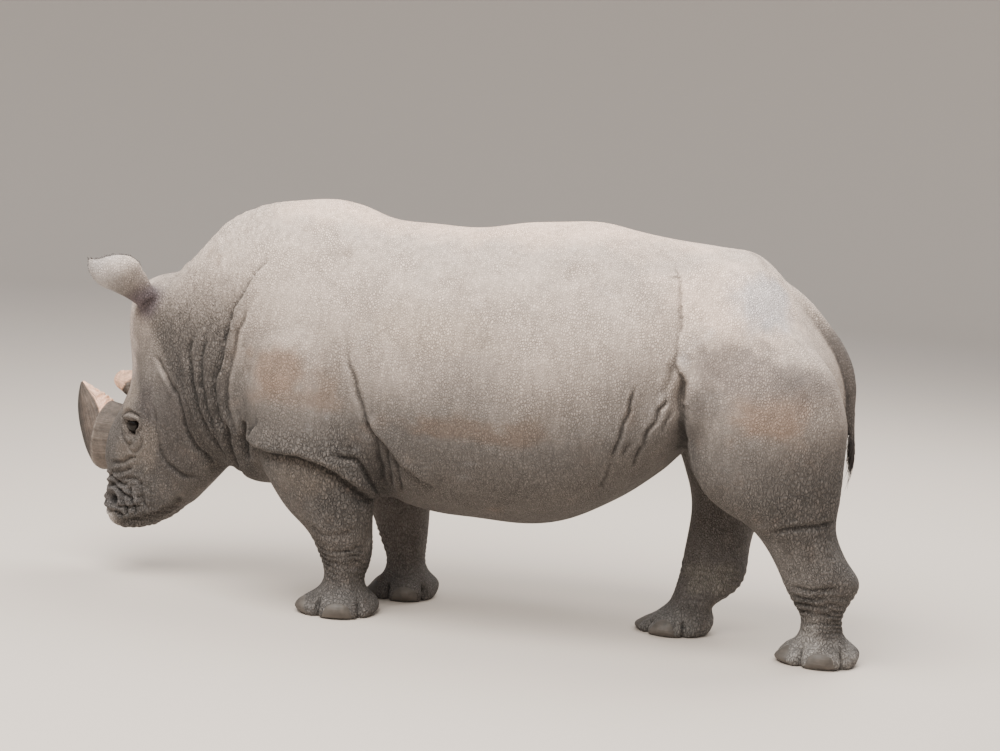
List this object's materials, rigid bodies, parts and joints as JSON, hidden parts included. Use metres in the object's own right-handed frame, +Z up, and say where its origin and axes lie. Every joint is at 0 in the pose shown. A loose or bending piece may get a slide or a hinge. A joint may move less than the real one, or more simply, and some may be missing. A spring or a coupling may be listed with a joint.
{
  "type": "rhinoceros",
  "caption": "Life-size still model of a white rhinoceros standing with its heavy head hung low, worn nose horn, barrel trunk, pillar legs and tasselled tail",
  "frame": {"origin": "middle of the floor under the whole animal's box, on the plane of the four soles", "axes": "X along the body, minus X toward the head and plus X toward the tail; minus Y is the animal's left flank; Z up"},
  "size_m": [3.5732, 1.048, 1.7389],
  "materials": {
    "hide": "matt, dry, finely cracked grey-beige hide with dust and mud",
    "dark_hide": "matt, darker wrinkled hide of feet, ears and tail",
    "horn": "fibrous keratin, worn pinkish along the upper edge",
    "nail": "scuffed dusty grey-brown keratin",
    "eye": "wet dark brown"
  },
  "bodies": {
    "root": {"trunk": "hide", "neck": "hide", "head": "hide", "ear_left": "dark_hide", "ear_right": "dark_hide", "eye_left": "eye", "eye_right": "eye", "horn_front": "horn", "horn_rear": "horn", "tail": "dark_hide", "foreleg_left": "hide", "forefoot_left": "dark_hide", "toenail_forefoot_left_1": "nail", "toenail_forefoot_left_2": "nail", "toenail_forefoot_left_3": "nail", "foreleg_right": "hide", "forefoot_right": "dark_hide", "toenail_forefoot_right_1": "nail", "toenail_forefoot_right_2": "nail", "toenail_forefoot_right_3": "nail", "hindleg_left": "hide", "hindfoot_left": "dark_hide", "toenail_hindfoot_left_1": "nail", "toenail_hindfoot_left_2": "nail", "toenail_hindfoot_left_3": "nail", "hindleg_right": "hide", "hindfoot_right": "dark_hide", "toenail_hindfoot_right_1": "nail", "toenail_hindfoot_right_2": "nail", "toenail_hindfoot_right_3": "nail"}
  },
  "joints": []
}
